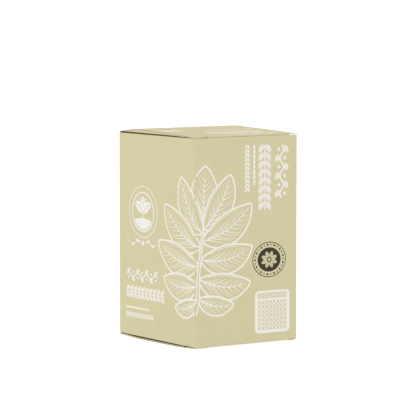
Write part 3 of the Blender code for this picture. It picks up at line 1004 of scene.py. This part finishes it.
def drawBadge():
    # Seedling in two rings: a mound, a stem, two spread leaves with bare midribs and a bud.
    shapes = [stroke(arc(0, 0, badge["ring"]), ink["fine"], closed=True),
              stroke(arc(0, 0, badge["inner"]), ink["rib"], closed=True)]
    a = np.linspace(-16.5, 16.5, 25)
    shapes.append(fill(np.stack([a, -9 + 2.6 * np.cos(np.pi * a / 33)], -1),
                       np.stack([a, -np.sqrt(18.6 ** 2 - a ** 2)], -1)))
    shapes.append(stroke(smooth((0, -7), (0.6, -2), (0, 4)), 1.5))
    for side in (-1, 1):
        shapes += petal((0.6 * side, -1.5), (15.4 * side, 8.5), 5.2, 0.9, 16, 2.4 * side)
    shapes += petal((0, 3), (0, 17), 4.3, 0.8, 14)
    shapes += [disc(0 + 6.6 * side, 14.0, 1.15, count=8) for side in (-1, 1)]
    return shapes


def flourish(length):
    # A mirrored ornament: two waves that fade outwards, each with a leaf, either side of a lozenge.
    shapes = petal((0, -3.2), (0, 3.2), 2.0, 0.0, 8)
    for side in (-1, 1):
        a = np.linspace(3.6, length / 2, 50)
        wave = 2.3 * np.sin((a - 3.6) / (length / 2 - 3.6) * 2.2 * np.pi) * (1.15 - a / (length / 2))
        shapes.append(stroke(np.stack([side * a, wave], -1), 1.0, 0.6))
        shapes += petal((side * 7.0, 1.6), (side * 13.5, 3.6), 1.5, 0.0, 8)
        shapes += petal((side * 15.5, -1.0), (side * 22.5, -2.8), 1.3, 0.0, 8)
        shapes.append(disc(side * (length / 2 + 0.6), 0.0, 0.7, count=6))
    return shapes


seal = {"wide": 21.4, "tall": 18.4, "leaves": 26, "petals": 8}


def drawSeal():
    # Two layers in units of the seal's half-axes: a ring, small leaves and dots between it and a disc; then a rosette.
    size = np.array([seal["wide"], seal["tall"]])
    dark = [stroke(arc(0, 0, *(size * 0.98)), 0.85, closed=True),
            disc(0, 0, *(size * 0.69), count=40)]
    for k in range(seal["leaves"]):
        turn = 2 * math.pi * k / seal["leaves"]
        ends = [size * 0.845 * (math.cos(turn + d), math.sin(turn + d)) for d in (-0.085, 0.075)]
        if k % 2:
            dark += petal(ends[0], ends[1], 1.0, 0.0, 11)
        else:
            middle = size * 0.845 * (math.cos(turn), math.sin(turn))
            dark.append(disc(*middle, 0.75, count=11))
    pale = []
    for k in range(seal["petals"]):
        turn = 2 * math.pi * (k + 0.5) / seal["petals"]
        way = np.array((math.cos(turn), math.sin(turn)))
        pale += petal(size * 0.12 * way, size * 0.50 * way, 2.1, 0.35, 9)
    pale.append(disc(0, 0, *(size * 0.085), count=10))
    return dark, pale


label = {"size": 44.4, "round": 4.6, "margin": 3.2, "field": 32.0, "columns": 8, "rows": 7, "header": 5.4}


def drawLabel():
    # Two layers: a plate with round corners; then a header and a lattice of four-petalled flowers and lozenges.
    size, r = label["size"], label["round"]
    turn = np.radians(np.linspace(0, 90, 7))
    low = r - r * np.cos(turn)[::-1]
    v = np.concatenate([r - r * np.cos(turn), size - r + r * np.sin(turn)])
    inset = np.concatenate([r - r * np.sin(turn), r - r * np.cos(turn)])
    inset, v = np.maximum(inset, 0.0), v
    plate = fill(np.stack([inset, v], -1), np.stack([size - inset, v], -1))
    wide = size - 2 * label["margin"]
    over = moved(laurel(wide, label["header"], 11, points=7), label["margin"], size - 2.6 - label["header"])
    stepU, stepV = wide / label["columns"], label["field"] / label["rows"]
    for i in range(label["columns"]):
        for j in range(label["rows"]):
            centre = np.array((label["margin"] + stepU * (i + 0.5), label["margin"] - 0.6 + stepV * (j + 0.5)))
            for k in range(4):
                way = np.array((math.cos(math.pi * (k / 2 + 0.25)), math.sin(math.pi * (k / 2 + 0.25))))
                over += petal(centre + 0.25 * way, centre + 2.45 * way, 0.72, 0.0, 5)
            if i and j:
                over.append(disc(*(centre - (stepU / 2, stepV / 2)), 0.62, count=4))
    return [plate], over


# Where the print sits, millimetres: u and v of its start or middle, on the walls from a corner's fold
layout = {
    "badge": (-97.1, 135.6), "flourish": (-97.5, 102.3), "flourishLength": 56.0,
    "wallVine": (-129.0, 62.4, 60.0, 11.0, 7), "wallLaurel": (-129.0, 43.8, 73.0, 11.4, 10),
    "wallBeads": (-131.0, 30.9, 46.5, 3.7, 9), "wallFine": (-131.0, 23.0, 54.0, 4.2, 14),
    "columnVine": (102.0, 207.7, 55.7, 14.0, 6), "columnLaurel": (80.2, 208.0, 68.0, 14.0, 8),
    "columnBeads": (71.6, 208.6, 42.0, 4.6, 8), "columnFine": (62.6, 208.6, 49.0, 5.2, 11),
    "seal": (93.1, 88.4), "label": (75.0, 11.6),
    "lidBadge": (17.5, 71.0), "lidBadgeSize": 0.54, "lidVine": (54.0, 11.0, 60.0, 11.0, 7),
    "lidLaurel": (40.0, 30.0, 72.0, 12.0, 10), "lidFine": (60.0, 63.0, 57.0, 5.0, 13),
}
inkHeights = {"lift": 0.022, "apart": 0.0011, "levels": 29, "layer": 0.036, "sink": 0.02}    # over the card


def onLid(u, v, lift):
    return np.stack([u - halfW, v - halfD, lidHeight(u - halfW, v - halfD) + lift], -1)


def inkPiece(name, shapes, place, mat, layer=0, body="carton"):
    # Ink has a small height: each shape's two edges, once sunk in the card and once proud of it, closed all round.
    # Neighbouring shapes differ by a few microns, so that no two faces share a plane.
    points, quads, start = [], [], 0
    base = layer * inkHeights["layer"]
    for number, (first, second, closed) in enumerate(shapes):
        if closed:
            first, second = first[:-1], second[:-1]
        lift = base + inkHeights["lift"] + inkHeights["apart"] * (number * 7 % inkHeights["levels"])
        low = base - inkHeights["sink"]
        corners = [place(*edge.T, height) for edge, height in
                   ((first, low), (first, lift), (second, lift), (second, low))]
        points.append(np.stack(corners, 1).reshape(-1, 3))
        count = len(first)
        here = np.arange(count if closed else count - 1)[:, None] * 4
        after = (here + 4) % (4 * count)
        side = np.arange(4)[None, :]
        turned = (side + 1) % 4
        quads.append(start + np.stack([here + side, here + turned, after + turned, after + side], -1).reshape(-1, 4))
        if not closed:
            quads.append(start + np.array([[3, 2, 1, 0], [4 * count - 4, 4 * count - 3, 4 * count - 2, 4 * count - 1]]))
        start += 4 * count
    obj = newMesh(name, np.concatenate(points), np.concatenate(quads), [mat])
    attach(obj, body)


def row(kind, spot, turn=0.0, **more):
    u, v, length, height, count = layout[spot]
    return moved(kind(length, height, count, **more), u, v, turn)


def wallPrint(corner, name):
    # The same artwork stands on both pairs of walls
    def place(u, v, lift):
        return onWall(u, v, lift, corner)
    left = moved(drawBadge(), *layout["badge"])
    left += moved(flourish(layout["flourishLength"]), *layout["flourish"])
    left += row(vine, "wallVine") + row(laurel, "wallLaurel", slit=0.5)
    left += row(beads, "wallBeads") + row(laurel, "wallFine", points=6)
    columns = row(vine, "columnVine", -90) + row(laurel, "columnLaurel", -90, slit=0.6)
    columns += row(beads, "columnBeads", -90) + row(laurel, "columnFine", -90, points=6)
    dark, pale = drawSeal()
    plate, over = drawLabel()
    inkPiece(name + "Plant", drawPlant(), place, creamInk)
    inkPiece(name + "BadgeAndRows", left, place, creamInk)
    inkPiece(name + "Columns", columns, place, creamInk)
    inkPiece(name + "Seal", moved(dark, *layout["seal"]), place, darkInk)
    inkPiece(name + "SealFlower", moved(pale, *layout["seal"]), place, sageInk, 1)
    inkPiece(name + "Label", moved(plate, *layout["label"]), place, creamInk)
    inkPiece(name + "LabelPattern", moved(over, *layout["label"]), place, sageInk, 1)


makeBlock()
makeBag()
makeFold()
makePatch()
print("contents made")
wallPrint(frontCorner, "frontPrint")
wallPrint(backCorner, "rearPrint")
lidShapes = moved(drawBadge(), *layout["lidBadge"], 90, layout["lidBadgeSize"]) + row(vine, "lidVine")
lidShapes += row(laurel, "lidLaurel", slit=0.6) + row(laurel, "lidFine", points=6)
inkPiece("lidPrint", lidShapes, onLid, creamInk, 0, "top_lid")
print("print laid on the walls and the lid")


# Camera at the photograph's viewing angle, and the studio
view = {
    "place": (-1548.5, -2264.6, 376.0),      # millimetres, from the origin under the carton
    "yaw": 34.379, "pitch": 4.949,           # degrees, turned to +X and down
    "lens": 225.5,
}
studio = {
    "world": 1.0, "floor": 0.30, "floorGlow": 0.82, "floorSize": 6.0,   # the table is lit from below too
    "keyPower": 11.6, "keySize": 2.4, "keyPlace": (-1.6, 0.75, 3.1),    # watts, metres
}


def makeCamera():
    data = bpy.data.cameras.new("camera")
    data.lens = view["lens"]
    data.sensor_width = 36.0
    data.clip_start = 0.01
    data.clip_end = 50.0
    cam = bpy.data.objects.new("camera", data)
    cam.location = [c * mm for c in view["place"]]
    cam.rotation_euler = (math.radians(90 - view["pitch"]), 0.0, -math.radians(view["yaw"]))
    bpy.context.scene.collection.objects.link(cam)
    bpy.context.scene.camera = cam


def makeStudio():
    scene = bpy.context.scene
    scene.view_settings.view_transform = "Standard"
    world = bpy.data.worlds.new("studio")
    scene.world = world
    world.use_nodes = True
    world.node_tree.nodes["Background"].inputs["Color"].default_value = (1.0, 1.0, 1.0, 1.0)
    world.node_tree.nodes["Background"].inputs["Strength"].default_value = studio["world"]
    size = studio["floorSize"]
    mesh = bpy.data.meshes.new("floor")
    mesh.from_pydata([(-size, -size, 0), (size, -size, 0), (size, size, 0), (-size, size, 0)], [], [(0, 1, 2, 3)])
    floor = bpy.data.objects.new("floor", mesh)
    scene.collection.objects.link(floor)
    paint = newMaterial("floorPaint", lambda tree, place: {
        "Base Color": (studio["floor"],) * 3 + (1.0,), "Emission Color": (1.0, 1.0, 1.0, 1.0),
        "Emission Strength": studio["floorGlow"], "Roughness": 0.9, "Specular IOR Level": 0.2})
    mesh.materials.append(paint)
    light = bpy.data.lights.new("key", "AREA")
    light.shape = "DISK"
    light.size = studio["keySize"]
    light.energy = studio["keyPower"]
    key = bpy.data.objects.new("key", light)
    key.location = studio["keyPlace"]
    aim = Vector((0, 0, 0.11)) - key.location
    key.rotation_euler = aim.to_track_quat("-Z", "Y").to_euler()
    scene.collection.objects.link(key)


makeCamera()
makeStudio()
